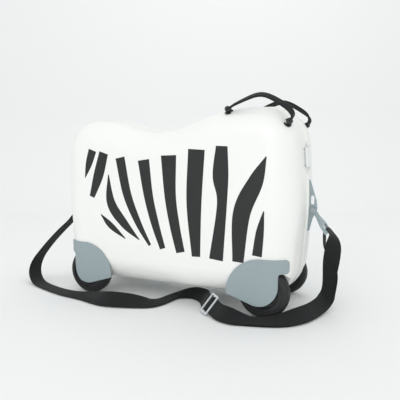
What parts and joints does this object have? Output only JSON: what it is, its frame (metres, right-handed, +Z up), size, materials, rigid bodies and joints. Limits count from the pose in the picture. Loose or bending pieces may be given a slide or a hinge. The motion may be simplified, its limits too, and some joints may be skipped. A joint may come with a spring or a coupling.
{
  "type": "ride-on suitcase",
  "caption": "Wheeled hard-shell children's suitcase with a saddle-shaped top to ride on, side handles on its head, snap latches, a hinged half and a webbing pull strap.",
  "frame": {"origin": "on the floor, midway between the wheels, in the plane of the seam", "axes": "+X along the case towards its head, +Y across the case towards the half that opens, +Z up"},
  "size_m": [0.6754, 0.2585, 0.3979],
  "materials": {
    "shell": "white satin moulding",
    "trim": "blue-grey moulding",
    "latch": "white moulding",
    "tyre": "black soft tread",
    "dark_plastic": "black moulding",
    "bearing": "natural bearing plastic",
    "steel": "plated steel",
    "seal": "grey rubber cord",
    "handle": "black woven webbing",
    "webbing": "black woven webbing",
    "slider": "pale moulding"
  },
  "bodies": {
    "right_half": {"right_shell": "shell", "rim_seal": "seal", "right_front_cover": "trim", "right_rear_cover": "trim", "right_front_axle": "steel", "right_rear_axle": "steel", "right_wheel_washers": "steel", "right_cover_screws": "steel", "front_hinge_right_leaf": "trim", "rear_hinge_right_leaf": "trim", "front_hinge_pin": "steel", "rear_hinge_pin": "steel", "front_latch_keeper": "latch", "rear_latch_keeper": "latch", "front_strap_anchor": "trim", "rear_strap_anchor": "trim", "front_link_pin": "steel", "rear_link_pin": "steel", "anchor_screws": "steel", "right_handle_mounts": "dark_plastic", "strap_front": "webbing", "strap_rear": "webbing", "strap_slider": "slider"},
    "left_half": {"left_shell": "shell", "left_front_cover": "trim", "left_rear_cover": "trim", "left_front_axle": "steel", "left_rear_axle": "steel", "left_wheel_washers": "steel", "left_cover_screws": "steel", "front_hinge_left_leaf": "trim", "rear_hinge_left_leaf": "trim", "front_latch_base": "latch", "rear_latch_base": "latch", "front_latch_pin": "steel", "rear_latch_pin": "steel", "left_handle_mounts": "dark_plastic"},
    "right_front_wheel": {"right_front_tyre": "tyre", "right_front_hub": "dark_plastic", "right_front_bush": "bearing"},
    "right_rear_wheel": {"right_rear_tyre": "tyre", "right_rear_hub": "dark_plastic", "right_rear_bush": "bearing"},
    "left_front_wheel": {"left_front_tyre": "tyre", "left_front_hub": "dark_plastic", "left_front_bush": "bearing"},
    "left_rear_wheel": {"left_rear_tyre": "tyre", "left_rear_hub": "dark_plastic", "left_rear_bush": "bearing"},
    "front_latch_lever": {"front_latch": "latch"},
    "front_link": {"front_strap_link": "trim"},
    "rear_latch_lever": {"rear_latch": "latch"},
    "rear_link": {"rear_strap_link": "trim"},
    "right_handle_loop": {"right_handle": "handle"},
    "left_handle_loop": {"left_handle": "handle"}
  },
  "joints": [
    {"name": "lid_hinge", "type": "hinge", "parent": "right_half", "child": "left_half", "pos_m": [0, 0, 0.021], "axis": [-1, 0, 0], "range_deg": [0, 110]},
    {"name": "right_front_wheel_spin", "type": "hinge", "parent": "right_half", "child": "right_front_wheel", "pos_m": [0.189, -0.079, 0.047], "axis": [0, 1, 0], "continuous": true},
    {"name": "right_rear_wheel_spin", "type": "hinge", "parent": "right_half", "child": "right_rear_wheel", "pos_m": [-0.189, -0.079, 0.047], "axis": [0, 1, 0], "continuous": true},
    {"name": "left_front_wheel_spin", "type": "hinge", "parent": "left_half", "child": "left_front_wheel", "pos_m": [0.189, 0.079, 0.047], "axis": [0, 1, 0], "continuous": true},
    {"name": "left_rear_wheel_spin", "type": "hinge", "parent": "left_half", "child": "left_rear_wheel", "pos_m": [-0.189, 0.079, 0.047], "axis": [0, 1, 0], "continuous": true},
    {"name": "front_latch_turn", "type": "hinge", "parent": "left_half", "child": "front_latch_lever", "pos_m": [0.24649, 0.011, 0.28773], "axis": [-0.0665, 0, 0.9978], "range_deg": [0, 100]},
    {"name": "rear_latch_turn", "type": "hinge", "parent": "left_half", "child": "rear_latch_lever", "pos_m": [-0.24649, 0.011, 0.28773], "axis": [-0.0665, 0, -0.9978], "range_deg": [0, 100]},
    {"name": "front_link_swing", "type": "hinge", "parent": "right_half", "child": "front_link", "pos_m": [0.2585, 0.0023, 0.19], "axis": [0, -1, 0], "range_deg": [-15, 80], "deforming": ["strap_front"]},
    {"name": "rear_link_swing", "type": "hinge", "parent": "right_half", "child": "rear_link", "pos_m": [-0.2585, 0.0023, 0.19], "axis": [0, 1, 0], "range_deg": [-15, 80], "deforming": ["strap_rear"]},
    {"name": "right_handle_swing", "type": "hinge", "parent": "right_half", "child": "right_handle_loop", "pos_m": [0.11707, -0.07712, 0.37366], "axis": [0.9782, 0, -0.2078], "range_deg": [0, 50]},
    {"name": "left_handle_swing", "type": "hinge", "parent": "left_half", "child": "left_handle_loop", "pos_m": [0.11707, 0.07712, 0.37366], "axis": [-0.9782, 0, 0.2078], "range_deg": [0, 50]}
  ]
}
